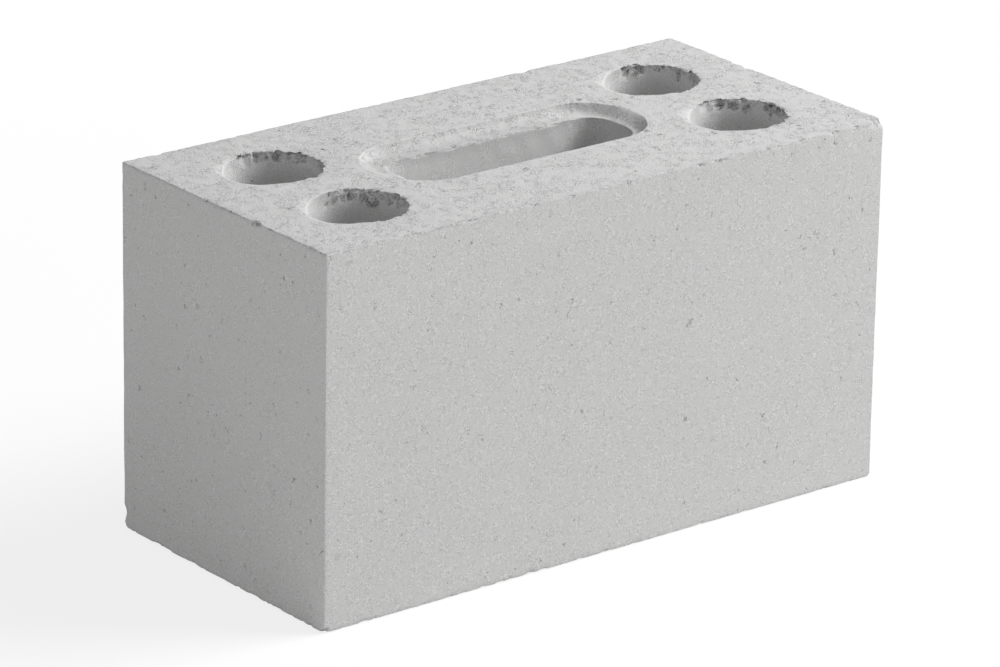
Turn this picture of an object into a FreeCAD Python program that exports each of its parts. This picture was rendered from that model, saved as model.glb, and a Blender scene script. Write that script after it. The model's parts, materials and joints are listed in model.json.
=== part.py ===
"""Calcium silicate (sand-lime) building brick, 250 x 120 x 138 mm, pressed in one piece.

Origin at the centre of the bottom bed face. X runs along the length, Y across the width, Z up.
A grip slot with a sunk, funnel-shaped mouth stands in the middle, with a pair of round cores
beyond each of its ends. All five voids run through the whole height.
"""
import FreeCAD
import Part

import math
import os

# Overall size, in millimetres.
length = 250.0
width = 120.0
height = 138.0
arris_radius = 0.8  # rounding of the twelve outer edges

# Round cores, one near each corner.
core_diameter = 34.0
core_end_wall = 22.0  # from a core to the nearer short face
core_row_spacing = 50.0  # across the width, between the centres of a pair
core_rim_flare = 0.8  # the broken edge where a core meets a bed face

# Grip slot: its mouth on the top bed, and the narrower throat that goes on down.
mouth_width = 44.0
mouth_end_web = 9.5  # along X, from the mouth's end to the nearest core
mouth_depth = 3.8
mouth_ledge = 8.0  # how far the mouth narrows to the throat, all round
throat_rim_flare = 0.8  # the broken edge where the throat meets the lower bed face

overshoot = 1.0  # how far a cutter runs past the face it opens

core_radius = core_diameter / 2
core_x = length / 2 - core_end_wall - core_radius
core_y = core_row_spacing / 2
mouth_length = 2 * (core_x - core_radius - mouth_end_web)
throat_length = mouth_length - 2 * mouth_ledge
throat_width = mouth_width - 2 * mouth_ledge


def body():
    """The pressed block, standing on Z = 0, with its outer edges slightly rounded."""
    corner = FreeCAD.Vector(-length / 2, -width / 2, 0)
    block = Part.makeBox(length, width, height, corner)
    return block.makeFillet(arris_radius, block.Edges)


def core_cutter(x, y):
    """One round core as a solid of revolution, opening by the rim flare at both bed faces."""
    wide = core_radius + core_rim_flare
    outline = [
        (0, -overshoot),
        (wide, -overshoot),
        (wide, 0),
        (core_radius, core_rim_flare),
        (core_radius, height - core_rim_flare),
        (wide, height),
        (wide, height + overshoot),
        (0, height + overshoot),
        (0, -overshoot),
    ]
    points = [FreeCAD.Vector(x + radius, y, z) for radius, z in outline]
    face = Part.Face(Part.makePolygon(points))
    return face.revolve(FreeCAD.Vector(x, y, 0), FreeCAD.Vector(0, 0, 1), 360)


def stadium(long_size, short_size, z):
    """A closed wire: two straight sides along X joined by half circles, at one height."""
    radius = short_size / 2
    straight = long_size / 2 - radius
    side = [
        (FreeCAD.Vector(-straight, -radius, z), FreeCAD.Vector(straight, -radius, z)),
        (FreeCAD.Vector(straight, radius, z), FreeCAD.Vector(-straight, radius, z)),
    ]
    right_tip = FreeCAD.Vector(straight + radius, 0, z)
    left_tip = FreeCAD.Vector(-straight - radius, 0, z)
    edges = [
        Part.makeLine(*side[0]),
        Part.Arc(side[0][1], right_tip, side[1][0]).toShape(),
        Part.makeLine(*side[1]),
        Part.Arc(side[1][1], left_tip, side[0][0]).toShape(),
    ]
    return Part.Wire(edges)


def funnel(bottom, top):
    """The solid between two stadiums, each given as (length, width, height above the bed)."""
    return Part.makeLoft([stadium(*bottom), stadium(*top)], True, True)


def slot_cutters():
    """The grip slot: a straight throat, the sloping mouth above it and the broken lower rim."""
    throat_top = height - mouth_depth
    throat = Part.Face(stadium(throat_length, throat_width, -overshoot))
    throat = throat.extrude(FreeCAD.Vector(0, 0, throat_top + 2 * overshoot))
    mouth = funnel(
        (throat_length, throat_width, throat_top),
        (mouth_length, mouth_width, height),
    )
    above = Part.Face(stadium(mouth_length, mouth_width, height))
    above = above.extrude(FreeCAD.Vector(0, 0, overshoot))
    lower_rim = funnel(
        (throat_length + 2 * throat_rim_flare, throat_width + 2 * throat_rim_flare, 0),
        (throat_length, throat_width, throat_rim_flare),
    )
    return [throat, mouth, above, lower_rim]


def brick():
    """The block less its four round cores and its grip slot."""
    cutters = [core_cutter(sx * core_x, sy * core_y) for sx in (-1, 1) for sy in (-1, 1)]
    return body().cut(cutters + slot_cutters())


def core_area():
    """Plan area of one round core."""
    return math.pi * core_radius**2


def throat_area():
    """Plan area of the slot's throat."""
    return (throat_length - throat_width) * throat_width + math.pi * (throat_width / 2) ** 2


os.makedirs("parts", exist_ok=True)
shape = brick()
shape.exportStep("parts/brick.step")

voids = (4 * core_area() + throat_area()) / (length * width)
print(f"brick: {len(shape.Solids)} solid, valid {shape.isValid()}")
print(f"net volume {shape.Volume / 1e6:.3f} dm3, voids take {voids:.1%} of the bed")
print(f"core centres at x = +-{core_x:.1f}, y = +-{core_y:.1f}")
print(f"mouth {mouth_length:.1f} x {mouth_width:.1f}, throat {throat_length:.1f} x {throat_width:.1f}")
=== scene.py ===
"""Looks of the calcium silicate brick: one pressed, chipped block that stands for the CAD solid.

Shapes are worked out in millimetres and written to the mesh in metres.
"""

from collections import namedtuple
from itertools import product
import json
import math

import bpy
import numpy as np
from mathutils import Matrix, Vector


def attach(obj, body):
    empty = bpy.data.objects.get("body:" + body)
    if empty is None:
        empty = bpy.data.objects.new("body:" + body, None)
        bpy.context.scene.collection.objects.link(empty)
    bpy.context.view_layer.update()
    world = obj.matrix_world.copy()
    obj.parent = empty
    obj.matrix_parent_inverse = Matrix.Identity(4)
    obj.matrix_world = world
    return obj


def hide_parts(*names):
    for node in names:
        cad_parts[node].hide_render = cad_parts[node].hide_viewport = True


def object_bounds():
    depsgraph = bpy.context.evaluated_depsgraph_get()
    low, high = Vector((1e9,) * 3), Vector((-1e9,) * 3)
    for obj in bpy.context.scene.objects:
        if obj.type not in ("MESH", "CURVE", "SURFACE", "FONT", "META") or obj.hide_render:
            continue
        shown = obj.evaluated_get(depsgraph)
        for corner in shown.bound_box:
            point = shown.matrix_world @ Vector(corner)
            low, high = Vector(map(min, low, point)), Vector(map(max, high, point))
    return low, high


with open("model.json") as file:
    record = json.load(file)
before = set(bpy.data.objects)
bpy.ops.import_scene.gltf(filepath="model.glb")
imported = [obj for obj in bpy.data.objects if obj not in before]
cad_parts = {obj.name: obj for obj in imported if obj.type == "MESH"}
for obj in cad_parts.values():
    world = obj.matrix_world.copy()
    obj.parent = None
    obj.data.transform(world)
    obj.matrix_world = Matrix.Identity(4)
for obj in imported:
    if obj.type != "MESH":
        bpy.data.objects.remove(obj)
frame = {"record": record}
cad_low, cad_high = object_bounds()

MM = 0.001
LOW, HIGH = np.array(cad_low) / MM, np.array(cad_high) / MM
TOP, FLOOR = HIGH[2], LOW[2]
HEIGHT = TOP - FLOOR
random = np.random.default_rng(138)

# A void seen from above: every point within radius of a line along X that reaches half_line
# to each side of the centre. A round core's line has no length.
Void = namedtuple("Void", "x y half_line radius")

# Each round core stands off its mark by this much along X and Y.
CORE_RADIUS = 17.0
CORE_DRIFT = {
    "core_front_left": (0.6, 0.2),
    "core_back_left": (1.2, 0.0),
    "core_front_right": (0.4, 1.0),
    "core_back_right": (1.2, 0.5),
}

# Deep notches where sand broke out of a core's rim, in the order of the cores above: turn from
# +X in degrees, depth below the bed, and size.
CORE_NOTCHES = {
    "core_front_left": [(36, 4.6, 3.2), (40, 3.4, 2.4), (57, 2.6, 2.0), (24, 2.6, 1.8), (80, 2.4, 1.6)],
    "core_back_left": [(21, 1.6, 2.2), (19, 2.8, 1.4), (48, 1.6, 2.4), (60, 2.2, 1.2), (98, 1.2, 1.6)],
    "core_front_right": [(52, 1.6, 1.4), (30, 2.4, 1.2), (66, 1.2, 1.4)],
    "core_back_right": [(67, 3.0, 1.8), (70, 0.8, 2.0), (43, 1.8, 1.6), (18, 1.9, 1.5)],
}

# The grip slot: a sunk mouth with a ledge, and the throat that goes on down through the block.
MOUTH = Void(-1.4, 0.4, 37.2, 22.0)
THROAT = Void(1.4, 0.2, 35.7, 13.9)
BLUNTNESS = 3.0  # the throat's ends lie between a half circle, 2, and a square
MOUTH_DEPTH = 3.8
LEDGE_CURVE = (2.0, 9.0)  # how much steeper the mouth is at its rim, at its ends and its sides

CORE_CELL_EDGE = 64.25  # the surface is divided at this distance to each side of the middle
COLUMN = 1.4  # usual distance between the columns of the mesh
FINE_STEP = 0.4  # the first one at an outer edge
LONG_STEP = 11.0  # the longest one down the inside of a void
SIDE_RIM = 3.0  # whatever is nearer than this to a side face belongs to the outside
UPRIGHT = 0.75  # a face whose direction rises less than this counts as a wall
GLOW_SHARE = 0.78  # of the floor's brightness near the block, as the camera sees it
ALL_GLOW = (260.0, 560.0)  # the share grows to 1 between these distances from the middle


# ---------------------------------------------------------------- grids

def steps(length, first, growth, largest):
    """Distances from 0 to length: each step is the one before times growth, up to the largest."""
    sizes = []
    while sum(sizes) < length:
        sizes.append(min(first * growth ** len(sizes), largest))
    edges = np.concatenate([[0.0], np.cumsum(sizes)])
    return edges * length / edges[-1]


def both_ways(length, first, growth, largest):
    """Steps that grow from each end towards the middle."""
    half = steps(length / 2, first, growth, largest)
    return np.concatenate([half, (length - half[::-1])[1:]])


def boundary(x_lines, y_lines):
    """The closed loop of points round a rectangle, anticlockwise from its lowest corner."""
    along = [(x, y_lines[0]) for x in x_lines[:-1]]
    along += [(x_lines[-1], y) for y in y_lines[:-1]]
    along += [(x, y_lines[-1]) for x in x_lines[:0:-1]]
    along += [(x_lines[0], y) for y in y_lines[:0:-1]]
    return np.array(along)


def towards(void, points):
    """For each point in plan: the nearest point of the void's line, and the way from it."""
    foot = np.stack([
        np.clip(points[:, 0], void.x - void.half_line, void.x + void.half_line),
        np.full(len(points), void.y),
    ], axis=1)
    way = points - foot
    return foot, way / np.linalg.norm(way, axis=1, keepdims=True)


def rings(reach, middle):
    """Fractions of the way from a void's rim (0) to the cell's edge (1), outermost first.

    Close to both ends the rings stand at set distances, squeezed where the reach is short,
    and the middle ones are spread evenly between them.
    """
    near_edge = np.array([0.0, 0.4, 0.9, 1.6, 2.6])
    near_rim = np.array([2.4, 1.5, 0.8, 0.35, 0.0])
    squeeze = np.minimum(1.0, 0.4 * reach / near_edge[-1])
    outer = 1 - near_edge[:, None] * squeeze / reach
    inner = near_rim[:, None] * squeeze / reach
    share = np.linspace(0, 1, middle + 2)[1:-1, None]
    return np.concatenate([outer, outer[-1] * (1 - share) + inner[0] * share, inner])


def level(plan, z):
    """Points in plan, lifted to one height."""
    return np.concatenate([plan, np.full(plan.shape[:-1] + (1,), z)], axis=-1)


def sleeve(cell, mouth, throat, mouth_rows, middle):
    """The surface of one cell, as rows of points over a closed loop of columns.

    It runs in over the top bed from the cell's edge to the mouth's rim, along the mouth's
    slope, down the throat, and out again under the lower bed. On the slope the way in is
    straight, and the depth grows as 1 - (1 - way^start)^curve.
    """
    foot, way = towards(mouth, cell)
    rim = foot + mouth.radius * way
    stretch = throat.half_line / mouth.half_line if mouth.half_line else 0.0
    low_foot = np.stack([
        throat.x + (foot[:, 0] - mouth.x) * stretch,
        np.full(len(foot), throat.y),
    ], axis=1)
    blunt = (np.abs(way) ** BLUNTNESS).sum(axis=1, keepdims=True) ** (-1 / BLUNTNESS)
    neck = low_foot + throat.radius * way * (blunt if mouth_rows else 1.0)
    out = rings(np.linalg.norm(cell - rim, axis=1), middle)[:, :, None]
    rows = [level(rim + out * (cell - rim), TOP)]
    at_ends, at_sides = LEDGE_CURVE
    curve = at_sides + (at_ends - at_sides) * np.abs(way[:, 0]) ** 1.5
    start = 1 + 0.5 * way[:, 0] ** 2
    for share in np.linspace(0, 1, mouth_rows + 1)[1:] ** 1.5:
        slope = level(rim + share * (neck - rim), TOP)
        slope[:, 2] -= MOUTH_DEPTH * (1 - (1 - share**start) ** curve)
        rows.append(slope[None])
    edge = rows[-1][0, 0, 2]
    upper = edge - steps(0.6 * (edge - FLOOR), 0.45, 1.17, LONG_STEP)
    lower = FLOOR + steps(upper[-1] - FLOOR, 0.5, 1.6, LONG_STEP)[::-1]
    for z in np.concatenate([upper[1:], lower[1:]]):
        rows.append(level(neck, z)[None])
    sparse = np.array([0.03, 0.1, 0.25, 0.45, 0.7, 0.9, 0.97, 1.0])[:, None, None]
    rows.append(level(neck + sparse * (cell - neck), FLOOR))
    return np.concatenate(rows)


def band(loop):
    """The four upright faces: the block's outline carried from the top bed to the lower one."""
    return np.stack([level(loop, z) for z in TOP - both_ways(HEIGHT, FINE_STEP, 1.55, 5.6)])


def quads(rows, columns, start, inwards):
    """Faces of a grid of points whose columns close on themselves."""
    row, column = np.meshgrid(np.arange(rows - 1), np.arange(columns), indexing="ij")
    after = (column + 1) % columns
    corners = [row * columns + column, row * columns + after,
               (row + 1) * columns + after, (row + 1) * columns + column]
    if not inwards:
        corners.reverse()
    return np.stack(corners, axis=-1).reshape(-1, 4) + start


def weld(points, faces):
    """Points that share a place become one."""
    keys = np.round(points * 1e4).astype(np.int64)
    _, first, same = np.unique(keys, axis=0, return_index=True, return_inverse=True)
    return points[first], same.reshape(-1)[faces]


def plain_block():
    """The whole surface before any wear, as points and four-sided faces."""
    growth = 1.35
    corner_steps = steps(-CORE_CELL_EDGE - LOW[0], FINE_STEP, growth, COLUMN)
    x_left = LOW[0] + corner_steps
    x_right = -x_left[::-1]
    count = round(2 * CORE_CELL_EDGE / COLUMN) + 1
    x_middle = np.linspace(x_left[-1], x_right[0], count)
    y_front = LOW[1] + steps(-LOW[1], FINE_STEP, growth, COLUMN)
    y_back = -y_front[::-1]
    y_all = np.concatenate([y_front, y_back[1:]])
    sides = {"left": x_left, "right": x_right, "front": y_front, "back": y_back}

    sheets = []
    for name, (dx, dy) in CORE_DRIFT.items():
        _, depth_side, long_side = name.split("_")
        cell = boundary(sides[long_side], sides[depth_side])
        x, y = opening_centre(name)
        core = Void(x + dx, y + dy, 0.0, CORE_RADIUS)
        sheets.append((sleeve(cell, core, core, mouth_rows=0, middle=13), True))
    cell = boundary(x_middle, y_all)
    sheets.append((sleeve(cell, MOUTH, THROAT, mouth_rows=12, middle=24), True))
    x_all = np.concatenate([x_left, x_middle[1:], x_right[1:]])
    sheets.append((band(boundary(x_all, y_all)), False))

    points, faces, count = [], [], 0
    for grid, inwards in sheets:
        faces.append(quads(grid.shape[0], grid.shape[1], count, inwards))
        points.append(grid.reshape(-1, 3))
        count += len(points[-1])
    return weld(np.concatenate(points), np.concatenate(faces))


def opening_centre(name):
    """The middle of a stated opening, in plan."""
    stated = {o["name"]: o["box_m"] for o in frame["record"]["physics"]["openings"]}
    return np.mean(stated[name], axis=0)[:2] / MM


# ---------------------------------------------------------------- wear, and painted light and shade

MIXERS = [np.uint64(number) for number in (73856093, 19349663, 83492791)]  # large primes


def noise(points, size, seed):
    """Smooth random numbers from -1 to 1.

    Random values stand at the corners of cubes of the given size, and each point takes the
    mean of its cube's eight, weighted by 3t^2 - 2t^3 along each axis.
    """
    scaled = points / size
    cell = np.floor(scaled).astype(np.int64)
    share = scaled - cell
    share = share * share * (3 - 2 * share)
    total = np.zeros(len(points))
    for corner in product((0, 1), repeat=3):
        at = (cell + corner).astype(np.uint64)
        mixed = at[:, 0] * MIXERS[0] ^ at[:, 1] * MIXERS[1]
        mixed ^= at[:, 2] * MIXERS[2] ^ np.uint64(seed * 2654435761)
        mixed = (mixed ^ (mixed >> np.uint64(13))) * np.uint64(1274126177)
        value = ((mixed ^ (mixed >> np.uint64(16))) & np.uint64(0xFFFFFF)) / 0x7FFFFF - 1
        weight = np.where(corner, share, 1 - share).prod(axis=1)
        total += weight * value
    return total


def rough(points, size, seed, octaves=3):
    """Noise with finer noise on it, each layer half as large and half as strong."""
    layers = [noise(points, size / 2**k, seed + k) / 2**k for k in range(octaves)]
    return sum(layers)


def normals_of(points, faces):
    """Each point's outward direction: the mean of its faces' directions, by area."""
    a, b, c, d = (points[faces[:, k]] for k in range(4))
    facing = np.cross(c - a, d - b)
    total = np.zeros_like(points)
    for k in range(4):
        np.add.at(total, faces[:, k], facing)
    return total / np.maximum(np.linalg.norm(total, axis=1, keepdims=True), 1e-12)


def round_arrises(points, radius):
    """Outside a box that is smaller by the radius, points move to the radius from that box."""
    inner = np.clip(points, LOW + radius, HIGH - radius)
    out = points - inner
    reach = np.linalg.norm(out, axis=1, keepdims=True)
    return np.where(reach > radius, inner + out * radius / np.maximum(reach, 1e-9), points)


def round_rim(points, void, radius, z, up):
    """The same rounding where a void's wall meets a bed face at height z."""
    foot, way = towards(void, points[:, :2])
    rho = np.linalg.norm(points[:, :2] - foot, axis=1)
    radius = radius + np.zeros(len(points))
    inward = void.radius + radius - rho
    rise = (points[:, 2] - z) * up + radius
    reach = np.hypot(inward, rise)
    near = (inward > 0) & (rise > 0) & (reach > radius) & (rho > void.radius - 1)
    scale = np.where(near, radius / np.maximum(reach, 1e-9), 1.0)
    rho_new = void.radius + radius - inward * scale
    moved = points.copy()
    moved[near, :2] = (foot + way * rho_new[:, None])[near]
    moved[near, 2] = (z + up * (rise * scale - radius))[near]
    return moved


def depth_in(void, points):
    """How far each point is from a void's wall, in plan."""
    foot, _ = towards(void, points[:, :2])
    return np.abs(np.linalg.norm(points[:, :2] - foot, axis=1) - void.radius)


class Bites:
    """Scoops taken out of a surface by balls whose centres stand outside it."""

    FULL_MARK = 0.4  # a point that moves this far counts as chipped stone, and gets the full painted shade

    def __init__(self, points):
        self.points = points
        self.broken_and_painted_shade = np.zeros(len(points))
        self.order = np.argsort(points[:, 0])
        self.sorted_x = points[self.order, 0]

    def take(self, place, outward, radius, depth, lumps=0.2):
        """One scoop: points inside a lumpy ball move out to its surface."""
        outward = np.array(outward, float)
        centre = np.array(place) + outward / np.linalg.norm(outward) * (radius - depth)
        margin = 1.5 * radius + 1
        first = np.searchsorted(self.sorted_x, centre[0] - margin)
        last = np.searchsorted(self.sorted_x, centre[0] + margin)
        near = self.order[first:last]
        way = self.points[near] - centre
        reach = np.linalg.norm(way, axis=1)
        seed = int(abs(centre).sum() * 10)
        ball = radius * (1 + lumps * rough(self.points[near], 0.7 * radius, seed, 2))
        inside = reach < ball
        near, way, reach, ball = near[inside], way[inside], reach[inside], ball[inside]
        self.points[near] = centre + way * (ball / np.maximum(reach, 1e-9))[:, None]
        mark = np.minimum(1, (ball - reach) / self.FULL_MARK)
        self.broken_and_painted_shade[near] = np.maximum(self.broken_and_painted_shade[near], mark)


def chip_arrises(bites):
    """The chips that show, then small random ones along all twelve edges."""
    x0, y0, z0 = LOW
    x1, y1, z1 = HIGH
    chips = [
        # place, way out, ball's radius, depth
        ((x1, y0, z1), (1, -1, 1.4), 9.0, 3.4),
        ((x1 - 3, y0, z1), (0.3, -1, 1), 5.0, 1.3),
        ((x0, y0, z0), (-1, -1, -0.6), 4.0, 1.6),
        ((x0, y1, z0), (-1, 1, -0.6), 4.0, 1.7),
        ((x0, y1, z0 + 5), (-1, 1, 0), 4.0, 0.9),
        ((x0, 20, z0), (-1, 0, -1), 30.0, 0.4),
        ((x0, 37, z0), (-1, 0, -1), 6.0, 0.5),
        ((x0, -10, z0), (-1, 0, -1), 3.4, 0.7),
        ((x0, -21, z0), (-1, 0, -1), 3.0, 0.7),
        ((x1, 12, z1), (1, 0, 1), 9.0, 1.6),
        ((x1, 21, z1), (1, 0, 1), 7.0, 1.3),
        ((x1, 34, z1), (1, 0, 1), 4.0, 0.8),
        ((-110, y1, z1), (0, 1, 1), 3.5, 1.0),
        ((54, y1, z1), (0, 1, 1), 4.5, 1.2),
        ((-92, y0, z1), (0, -1, 1), 2.4, 0.9),
        ((-89, y0, z1), (0, -1, 1), 1.8, 0.7),
        ((-64, y0, z1), (0, -1, 1), 2.8, 1.0),
        ((-61.5, y0, z1), (0, -1, 1), 1.8, 0.8),
        ((-36, y0, z1), (0, -1, 1), 2.2, 0.9),
        ((-20, y0, z1), (0, -1, 1), 1.6, 0.6),
        ((x0, -19, z1), (-1, 0, 1), 3.2, 1.1),
        ((x0, -22, z1), (-1, 0, 1), 2.0, 0.8),
        ((-34.5, y0, z0), (0, -1, -1), 2.6, 1.1),
        ((x1, y0, z0), (1, -1, -1), 2.6, 0.9),
        ((-108, y0, z0), (0, -1, -1), 2.4, 0.8),
        ((38.5, y0, z1), (0, -1, 1), 1.8, 0.7),
        ((41.5, y0, z1), (0, -1, 1), 1.4, 0.6),
        ((47, y0, z1), (0, -1, 1), 2.4, 0.9),
        ((50.5, y0, z1), (0, -1, 1), 1.8, 0.8),
        ((75, y0, z1), (0, -1, 1), 3.0, 0.8),
        ((86, y0, z1), (0, -1, 1), 2.4, 0.9),
        ((92, y0, z1), (0, -1, 1), 2.4, 0.8),
        ((101, y0, z1), (0, -1, 1), 3.4, 1.0),
        ((112, y0, z1), (0, -1, 1), 3.0, 1.0),
    ]
    for place, outward, radius, depth in chips:
        bites.take(place, outward, radius, depth)
    spans = HIGH - LOW
    spacing = (3.6, 3.6, 12.0)  # between the small chips, along X, Y and Z
    for axis in range(3):
        others = [k for k in range(3) if k != axis]
        for ends in product((0, 1), repeat=2):
            count = int(spans[axis] / spacing[axis])
            for at in random.uniform(0, 1, count):
                place = LOW.copy()
                place[axis] = LOW[axis] + at * spans[axis]
                outward = np.zeros(3)
                for k, end in zip(others, ends):
                    place[k] = (LOW, HIGH)[end][k]
                    outward[k] = (end * 2 - 1) * random.uniform(0.5, 1.5)
                radius = 0.7 + 1.6 * random.power(0.6) ** 2 * random.uniform(0.3, 1)
                if place[2] == FLOOR:
                    radius *= 0.7
                bites.take(place, outward, radius, radius * random.uniform(0.2, 0.45), 0.3)


def crumble_rims(bites, cores):
    """The notches of the cores, then random scoops at the top of their walls and on the long
    sides of the throat."""
    spread = (-110, 92)  # the part of a core's rim that crumbles, turned from +X in degrees
    for core, notches in zip(cores, CORE_NOTCHES.values()):
        for degrees, down, size in notches:
            turn = math.radians(degrees)
            way = np.array([math.cos(turn), math.sin(turn), 0.0])
            place = np.array([core.x, core.y, TOP - down]) + way * (core.radius + 0.3)
            bites.take(place, [0, 0, 0.15] - way, 0.62 * size, 0.75 * size, 0.45)
    scoops = (75, 55, 65, 55)
    for core, count in zip(cores, scoops):
        for _ in range(count):
            turn = math.radians(random.uniform(*spread))
            down = 5.0 * random.uniform(0, 1) ** 1.6
            radius = random.uniform(0.6, 1.7)
            way = np.array([math.cos(turn), math.sin(turn), 0.0])
            place = np.array([core.x, core.y, TOP - down]) + way * (core.radius + 0.4)
            outward = -way + [0, 0, random.uniform(0, 0.8)]
            bites.take(place, outward, radius, radius * random.uniform(0.3, 0.8), 0.5)
    lip_scoops = 150
    for _ in range(lip_scoops):
        along = random.uniform(-THROAT.half_line, THROAT.half_line)
        side = random.choice([-1, 1])
        place = (THROAT.x + along, THROAT.y + side * THROAT.radius, TOP - MOUTH_DEPTH)
        radius = random.uniform(0.8, 1.8)
        bites.take(place, (0, -side, 0.7), radius, radius * random.uniform(0.2, 0.5), 0.4)


def pit_bed(bites):
    """Small shallow pits scattered over the top bed."""
    pits = 140
    for _ in range(pits):
        x, y = random.uniform(LOW[:2], HIGH[:2])
        radius = random.uniform(1.0, 2.6)
        bites.take((x, y, TOP), (0, 0, 1), radius, random.uniform(0.15, 0.5), 0.3)


def nibble(points):
    """Arrises lose a little more where noise is high, within a millimetre or so of each edge."""
    to_face = np.minimum(points - LOW, HIGH - points)
    ordered = np.sort(to_face, axis=1)
    near_edge = np.exp(-ordered[:, 1] / 0.8) * (ordered[:, 0] < 0.6)
    near_edge *= np.where(to_face[:, 2] < 1.6, 1.0, 0.25)
    amount = np.clip(noise(points, 2.4, 61) + 0.8 * noise(points, 1.2, 62) - 0.35, 0, 1)
    inwards = np.sign((LOW + HIGH) / 2 - points) * (to_face < 1.6)
    moved = points + inwards * (0.45 * near_edge * amount)[:, None]
    # The second result darkens the arrises in the finish: painted shade, a little along every edge and
    # more where noise nibbles it.
    return moved, near_edge * (0.5 + 1.4 * amount)


def from_sides(points):
    """How far each point is from the nearest of the four upright faces."""
    return np.minimum(points - LOW, HIGH - points)[:, :2].min(axis=1)


def bed_share(points, facing, middle):
    """1 on the top bed and on the sunk ledge of the slot's mouth, and 0 on upright faces."""
    share = np.clip(facing[:, 2] * 2 - 1, 0, 1)
    down = TOP - points[:, 2]
    sunk = (down > 0) & (down < MOUTH_DEPTH + 0.1)
    share[middle & (from_sides(points) > SIDE_RIM) & sunk] = 1.0
    return share


def crumbling(points, cores, gaps, centre_x):
    """How loose the sand is: most at a core's rim, fading with depth and distance from its wall,
    patchy, and none on the left of a core. The finish darkens the grit there as painted shade."""
    down = TOP - points[:, 2]
    amount = np.exp(-down / 3.6) * np.exp(-np.min(gaps, axis=0) / 1.6)
    amount *= 1 - np.clip(1.6 * (centre_x - points[:, 0]) / CORE_RADIUS, 0, 1)
    return amount * np.clip(0.7 + 0.9 * noise(points, 6.0, 45), 0, 1.2)


def unevenness(points, bed, inside, crumb_and_painted_shade):
    """How far the stone stands off the plain surface, in millimetres."""
    away = 0.10 * noise(points, 40.0, 11) + 0.05 * noise(points, 9.0, 12)
    away += 0.035 * rough(points, 3.0, 13)
    away += bed * 0.09 * rough(points, 3.0, 21)
    away += inside * 0.10 * rough(points, 5.0, 31)
    away -= crumb_and_painted_shade * (0.55 + 0.8 * rough(points, 3.4, 41) + 0.5 * noise(points, 1.3, 44))
    return away


def paint_light_and_shade(points, facing, middle, down, outside, centre_x):
    """Painted light and shade: above 0, painted light, on the walls of the voids, though less on
    the shaded side of a core, where shade is painted, and below 0, painted shade, on the
    slot's ledge as far as its right end."""
    upright = np.abs(facing[:, 2]) < UPRIGHT
    rim = np.where(middle, MOUTH_DEPTH, 0.0)
    # painted light on the walls of the voids, growing below their rims
    painted_light_and_shade = upright * ~outside * np.clip((down - rim - 0.5) / 4.0, 0, 1)
    shaded = np.clip((points[:, 0] - centre_x) / CORE_RADIUS + 0.8, 0, 1)
    # painted shade on the side of each core away from the light, deeper down
    painted_light_and_shade -= painted_light_and_shade * ~middle * shaded * np.clip((down - 4.0) / 6.0, 0, 1) * 1.5
    # painted shade on the slot's sunk ledge, fading out towards its right end
    ledge = middle & ~upright & (down > 0.5) & (down < MOUTH_DEPTH + 0.5)
    lit_to = 38.0
    return painted_light_and_shade - 0.7 * ledge * np.clip((lit_to - points[:, 0]) / 10.0, 0, 1)


def worn_block():
    """The plain block with rounded edges, uneven faces, crumbled rims, chips and pits, with numbers
    for its finish that also set painted light and shade.
    """
    points, faces = plain_block()
    facing = normals_of(points, faces)
    cores = [Void(*(opening_centre(name) + drift), 0.0, CORE_RADIUS)
             for name, drift in CORE_DRIFT.items()]
    middle = np.abs(points[:, 0]) < CORE_CELL_EDGE
    bed = bed_share(points, facing, middle)
    points = round_arrises(points, 0.35 + 0.15 * noise(points, 9.0, 5)[:, None])
    for core in cores:
        left = np.clip((core.x - points[:, 0]) / core.radius, 0, 1)
        points = round_rim(points, core, 0.7 + 4.3 * left**2, TOP, 1)
        points = round_rim(points, core, 0.7, FLOOR, -1)
    points = round_rim(points, THROAT, 0.7, FLOOR, -1)
    points, nibbled_and_painted_shade = nibble(points)

    smooth = points
    down = TOP - smooth[:, 2]
    outside = from_sides(smooth) <= SIDE_RIM
    inside = (np.abs(facing[:, 2]) < UPRIGHT) & ~outside
    gaps = [depth_in(core, smooth) for core in cores]
    centre_x = np.array([core.x for core in cores])[np.argmin(gaps, axis=0)]
    crumb_and_painted_shade = crumbling(smooth, cores, gaps, centre_x)
    away = unevenness(smooth, bed, inside, crumb_and_painted_shade) - 0.14
    points = smooth + facing * away[:, None]

    bites = Bites(points)
    pit_bed(bites)
    crumble_rims(bites, cores)
    chip_arrises(bites)
    values = {
        "broken_and_painted_shade": np.clip(np.maximum(bites.broken_and_painted_shade, nibbled_and_painted_shade), 0, 1),
        "bed": bed,
        "crumb_and_painted_shade": crumb_and_painted_shade,
        "painted_light_and_shade": paint_light_and_shade(bites.points, facing, middle, down, outside, centre_x),
    }
    return np.clip(bites.points, LOW, HIGH), faces, values


def make_piece(name, points, faces, values):
    """A mesh object from arrays, with one number per point for each named value."""
    mesh = bpy.data.meshes.new(name)
    mesh.from_pydata((points * MM).tolist(), [], faces.tolist())
    for label, numbers in values.items():
        layer = mesh.attributes.new(label, "FLOAT", "POINT")
        layer.data.foreach_set("value", numbers.astype(np.float32))
    mesh.shade_smooth()
    piece = bpy.data.objects.new(name, mesh)
    bpy.context.scene.collection.objects.link(piece)
    return piece


# ---------------------------------------------------------------- finishes

class Field:
    """A number that varies over a surface, with the operators of arithmetic."""

    def __init__(self, finish, socket):
        self.finish = finish
        self.socket = socket

    def _with(self, operation, first, second):
        return self.finish.node("ShaderNodeMath", {"operation": operation}, [first, second])

    def __add__(self, other):
        return self._with("ADD", self, other)

    def __sub__(self, other):
        return self._with("SUBTRACT", self, other)

    def __rsub__(self, other):
        return self._with("SUBTRACT", other, self)

    def __mul__(self, other):
        return self._with("MULTIPLY", self, other)

    def __truediv__(self, other):
        return self._with("DIVIDE", self, other)

    __radd__ = __add__
    __rmul__ = __mul__


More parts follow.
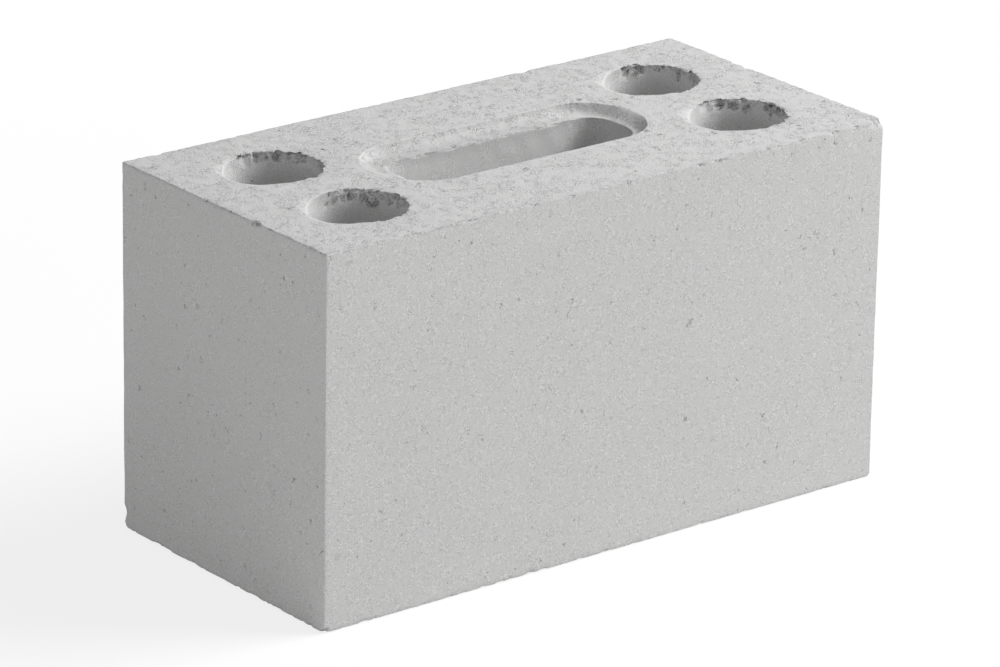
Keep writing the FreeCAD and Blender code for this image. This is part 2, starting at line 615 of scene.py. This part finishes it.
class Finish:
    """A material whose pattern is written as expressions on fields."""

    def __init__(self, name):
        self.material = bpy.data.materials.new(name)
        self.material.use_nodes = True
        self.tree = self.material.node_tree
        self.shader = self.tree.nodes["Principled BSDF"]

    def node(self, kind, settings=None, values=(), output=0):
        """One node of a type, with its settings, the values or links of its sockets, and an output."""
        made = self.tree.nodes.new(kind)
        for key, value in (settings or {}).items():
            setattr(made, key, value)
        pairs = values.items() if isinstance(values, dict) else enumerate(values)
        for key, value in pairs:
            if isinstance(value, Field):
                self.tree.links.new(value.socket, made.inputs[key])
            else:
                made.inputs[key].default_value = value
        return Field(self, made.outputs[output])

    def place(self):
        """Where a point is on the object, in millimetres."""
        at = self.node("ShaderNodeTexCoord", output="Object")
        return self.node("ShaderNodeVectorMath", {"operation": "SCALE"}, {0: at, "Scale": 1 / MM})

    def noise(self, place, size, detail=2.0, roughness=0.5):
        """Smooth noise from about -1 to 1, whose lumps are about as large as size."""
        values = {"Vector": place, "Scale": 1 / size, "Detail": detail, "Roughness": roughness}
        return self.node("ShaderNodeTexNoise", None, values) * 2 - 1

    def attribute(self, name):
        """A number that the mesh carries."""
        return self.node("ShaderNodeAttribute", {"attribute_name": name}, output="Fac")

    def clamp(self, field, low=0.0, high=1.0):
        """The field, held between two numbers."""
        return self.node("ShaderNodeClamp", None, [field, low, high])

    def spots(self, place, spacing, largest, edge, rarity=0.0):
        """Round spots, one or none in each cell: 1 inside, fading to 0 over the edge."""
        values = {"Vector": place, "Scale": 1 / spacing, "Randomness": 1.0}
        cells = self.node("ShaderNodeTexVoronoi", None, values, "Distance")
        colour = Field(self, cells.socket.node.outputs["Color"])
        chance = self.node("ShaderNodeSeparateColor", None, [colour], "Red")
        size = self.clamp((chance - rarity) / (1 - rarity)) * largest
        return self.clamp((size - cells * spacing) / edge)

    def grey(self, field):
        """A neutral colour as bright as the field."""
        factor, dark, light, result = 0, 6, 7, 2  # the sockets that mix colours
        values = {factor: field, dark: (0, 0, 0, 1), light: (1.0, 1.0, 0.996, 1)}
        return self.node("ShaderNodeMix", {"data_type": "RGBA"}, values, result)

    def feed(self, socket, field):
        """Links a field to a socket of the shader."""
        self.tree.links.new(field.socket, self.shader.inputs[socket])


def marked(finish, place):
    """The larger marks. Each has its middle, how dark it is and its radius, and it fades out over
    the last third of its radius."""
    x0, y0 = LOW[:2]
    total = 0.0
    marks = [
        ((34.8, y0, 78.2), 0.34, 0.75), ((35.9, y0, 79.0), 0.34, 0.8), ((37.1, y0, 80.0), 0.34, 0.7),
        ((-0.5, y0, 94.5), 0.32, 0.7), ((-16, y0, 96), 0.2, 0.6), ((42, y0, 88.5), 0.2, 0.8),
        ((35, y0, 42.8), 0.36, 1.0), ((-5.5, y0, 33.5), 0.14, 1.1), ((1, y0, 51), 0.14, 0.9),
        ((93.5, y0, 101), 0.16, 1.2), ((95.2, y0, 100.4), 0.16, 1.0), ((48, y0, 32), 0.12, 1.5),
        ((115, y0, 70), 0.25, 0.7), ((115.9, y0, 68.8), 0.25, 0.7), ((83.5, y0, 87), 0.14, 1.0),
        ((-119.5, y0, 27), 0.12, 1.6), ((-116, y0, 133), 0.12, 1.3), ((71, y0, 111.5), 0.14, 0.9),
        ((x0, -34, 130.5), 0.4, 0.6), ((x0, -41, 122.5), 0.4, 0.6), ((x0, -25, 114.5), 0.35, 0.7),
        ((x0, 14.5, 97.5), 0.18, 1.2), ((x0, 46, 133.5), 0.22, 0.9), ((x0, 46, 131.5), 0.18, 0.9),
        ((x0, 35, 14.5), 0.3, 0.9), ((x0, -9.5, 92.5), 0.2, 0.8),
        ((-107, -14, TOP), 0.2, 1.6), ((-105, -13.8, TOP), 0.2, 1.4), ((-64, -16.6, TOP), 0.2, 1.2),
        ((-62, -16, TOP), 0.2, 1.2), ((-73.3, 9.3, TOP), 0.35, 0.8),
        ((12, 21, TOP), 0.3, 1.2), ((12.6, 18.6, TOP), 0.3, 0.8), ((10.4, 22.8, TOP), 0.2, 1.0),
        ((21, 45.5, TOP), 0.24, 1.3), ((18.4, 46, TOP), 0.18, 1.2), ((-15.5, 51.5, TOP), 0.2, 1.4),
        ((-35.6, 42, TOP), 0.14, 1.4), ((-52, 27.5, TOP), 0.14, 1.3), ((25, 28.5, TOP), 0.16, 1.2),
        ((38.5, y0, TOP), 0.24, 1.2), ((40.5, y0, TOP), 0.24, 1.2), ((46.5, y0, TOP), 0.3, 1.3),
        ((48.3, y0, TOP), 0.3, 1.3), ((50.6, y0, TOP), 0.24, 1.2), ((85, y0, TOP), 0.26, 1.3),
        ((87, y0, TOP), 0.26, 1.2), ((101, y0, TOP), 0.3, 1.3), ((103, y0, TOP), 0.26, 1.2),
    ]
    for centre, dark, radius in marks:
        values = [place, tuple(float(value) for value in centre)]
        apart = finish.node("ShaderNodeVectorMath", {"operation": "DISTANCE"}, values, "Value")
        fade = [apart, radius, radius * 2 / 3, 0.0, dark]
        total = total + finish.node("ShaderNodeMapRange", None, fade)
    return finish.clamp(total, 0.0, 0.45)


def sand_lime():
    """Pressed sand and lime: a light matt grey with fine grain, dark specks, pits and lime spots,
    with painted shade in its chips, notches, arrises and crumbled grit, and painted light and
    shade on the walls and ledge of its voids.
    """
    finish = Finish("sand_lime")
    place = finish.place()
    broken_and_painted_shade, bed = finish.attribute("broken_and_painted_shade"), finish.attribute("bed")
    crumb_and_painted_shade, painted_light_and_shade = finish.attribute("crumb_and_painted_shade"), finish.attribute("painted_light_and_shade")
    lumps = {"Vector": place, "Scale": 0.9, "Detail": 0.0}
    wander = finish.node("ShaderNodeTexNoise", None, lumps, "Color")
    wander = finish.node("ShaderNodeVectorMath", {"operation": "SUBTRACT"}, [wander, (0.5, 0.5, 0.5)])
    wander = finish.node("ShaderNodeVectorMath", {"operation": "SCALE"}, {0: wander, "Scale": 3.6})
    bent = finish.node("ShaderNodeVectorMath", {"operation": "ADD"}, [place, wander])
    slanted = {"Vector": bent, "Rotation": (0.5, 0.6, 0.4), "Scale": (1.0, 1.0, 0.62)}
    slanted = finish.node("ShaderNodeMapping", None, slanted)

    broad = finish.noise(place, 34.0, 1.0)
    cluster = finish.clamp(finish.noise(place, 4.0, 1.0) * 2.2 + 0.5)
    grain = finish.noise(place, 0.42, 1.0, 0.6)
    crumbs = finish.noise(place, 1.2, 2.0, 0.75)

    faint = finish.spots(bent, 2.0, 0.5, 0.3, 0.25)
    specks = finish.spots(slanted, 3.1, 0.72, 0.25, 0.45)
    smudges = finish.spots(slanted, 6.5, 1.3, 0.9, 0.45)
    lime = finish.spots(bent, 1.6, 0.5, 0.3, 0.4)
    scars = finish.clamp((finish.noise(bent, 1.0, 2.0, 0.7) - 0.12) * 5) * cluster * bed
    eased = finish.node("ShaderNodeVectorMath", {"operation": "SCALE"}, {0: wander, "Scale": 0.3})
    eased = finish.node("ShaderNodeVectorMath", {"operation": "ADD"}, [place, eased])
    marks = marked(finish, eased)

    tone = 0.60 + broad * 0.010 + grain * (0.11 + cluster * (0.25 + bed * 0.08))
    tone = tone + crumbs * (1 - bed) * 0.03
    tone = tone + lime * (0.02 + bed * 0.06)
    tone = tone * (1 - faint * 0.14) * (1 - specks * 0.38) * (1 - smudges * 0.12)
    tone = tone * (1 - marks) * (1 - scars * 0.22)
    # Chips, notches and arrises are darkened: chipped stone with painted shade in it.
    tone = tone * (1 - broken_and_painted_shade * finish.clamp(crumbs * 2.2 + 0.40) * (0.50 - crumb_and_painted_shade * 0.2))
    # Loose grit at the cores' rims is darkened in patches: painted shade.
    # Then painted light on the walls of the voids, and painted shade on the slot's ledge and the cores'
    # shaded sides.
    tone = tone * (1 - crumb_and_painted_shade * finish.clamp(crumbs * 3.0) * 0.36) * (1 + painted_light_and_shade * 0.16)
    finish.feed("Base Color", finish.grey(tone))
    finish.feed("Roughness", 0.9 + grain * 0.05)

    height = grain * (0.025 + bed * 0.03 + crumb_and_painted_shade * 0.1) + crumbs * (0.015 + bed * 0.10)
    height = height - specks * 0.15 - scars * 0.22
    height = height - (broken_and_painted_shade + crumb_and_painted_shade) * finish.clamp(crumbs + 0.2) * 0.5
    bump = {"Strength": 1.0, "Distance": MM, "Height": height}  # heights are in millimetres
    finish.feed("Normal", finish.node("ShaderNodeBump", None, bump))
    finish.shader.inputs["Specular IOR Level"].default_value = 0.25
    return finish.material


def pale_floor():
    """A white sheet whose shadows look faint: what the camera sees of it is partly its own glow."""
    finish = Finish("pale_floor")
    seen = finish.node("ShaderNodeLightPath", output="Is Camera Ray")
    finish.feed("Base Color", finish.grey(0.72 + seen * 0.28))
    finish.shader.inputs["Roughness"].default_value = 1.0
    finish.shader.inputs["Specular IOR Level"].default_value = 0.0
    glow = finish.node("ShaderNodeEmission", None, {"Strength": 1.0}, "Emission")
    lit = Field(finish, finish.shader.outputs["BSDF"])
    away = finish.node("ShaderNodeVectorMath", {"operation": "LENGTH"}, [finish.place()], "Value")
    near, far = ALL_GLOW
    share = GLOW_SHARE + finish.clamp((away - near) / (far - near)) * (1 - GLOW_SHARE)
    both = finish.node("ShaderNodeMixShader", None, [seen * share, lit, glow])
    finish.tree.links.new(both.socket, finish.tree.nodes["Material Output"].inputs["Surface"])
    return finish.material


# ---------------------------------------------------------------- stage

def make_floor():
    """A large level sheet under the object."""
    reach = 12.0
    mesh = bpy.data.meshes.new("floor")
    corners = [(-reach, -reach, 0), (reach, -reach, 0), (reach, reach, 0), (-reach, reach, 0)]
    mesh.from_pydata(corners, [], [(0, 1, 2, 3)])
    mesh.materials.append(pale_floor())
    floor = bpy.data.objects.new("floor", mesh)
    gap = 0.0002
    floor.location.z = cad_low.z - gap
    bpy.context.scene.collection.objects.link(floor)


def soft_box(name, towards_box, distance, size, watts):
    """A square lamp that faces the middle of the object."""
    lamp = bpy.data.lights.new(name, "AREA")
    lamp.shape = "SQUARE"
    lamp.size = size
    lamp.energy = watts
    way = Vector(towards_box).normalized()
    box = bpy.data.objects.new(name, lamp)
    box.location = way * distance + (cad_low + cad_high) / 2
    box.rotation_euler = way.to_track_quat("Z", "Y").to_euler()
    bpy.context.scene.collection.objects.link(box)


def make_lights():
    """A high soft box at the right, a weak low one at the left, and an even white surround."""
    soft_box("key_box", (0.65, -0.31, 0.70), 2.0, 1.14, 43.7)
    soft_box("fill_box", (-0.9, -0.42, 0.03), 1.5, 0.4, 4.2)

    world = bpy.data.worlds.new("surround")
    world.use_nodes = True
    tree = world.node_tree
    glow = tree.nodes["Background"]
    seen = tree.nodes.new("ShaderNodeLightPath")
    strength = tree.nodes.new("ShaderNodeMapRange")
    strength.inputs["To Min"].default_value = 0.33
    strength.inputs["To Max"].default_value = 1.0
    tree.links.new(seen.outputs["Is Camera Ray"], strength.inputs["Value"])
    tree.links.new(strength.outputs[0], glow.inputs["Strength"])
    glow.inputs["Color"].default_value = (1, 1, 1, 1)
    bpy.context.scene.world = world


def make_camera():
    """A long lens at the front and left, about 20 degrees above the bed, rolled by a degree."""
    eye = Vector((-1.23144, -1.54211, 0.79502))
    aim = Vector((-0.00222, 0.0, 0.06528))
    roll = math.radians(0.98)
    data = bpy.data.cameras.new("camera")
    data.sensor_width = 36.0
    data.lens = 210.97
    data.clip_end = 60.0
    camera = bpy.data.objects.new("camera", data)
    turn = (aim - eye).to_track_quat("-Z", "Y").to_matrix() @ Matrix.Rotation(roll, 3, "Z")
    camera.matrix_world = Matrix.Translation(eye) @ turn.to_4x4()
    bpy.context.scene.collection.objects.link(camera)
    bpy.context.scene.camera = camera


block = make_piece("pressed_brick", *worn_block())
block.data.materials.append(sand_lime())
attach(block, "root")
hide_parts("brick")

make_floor()
make_lights()
make_camera()
bpy.context.scene.view_settings.view_transform = "Standard"
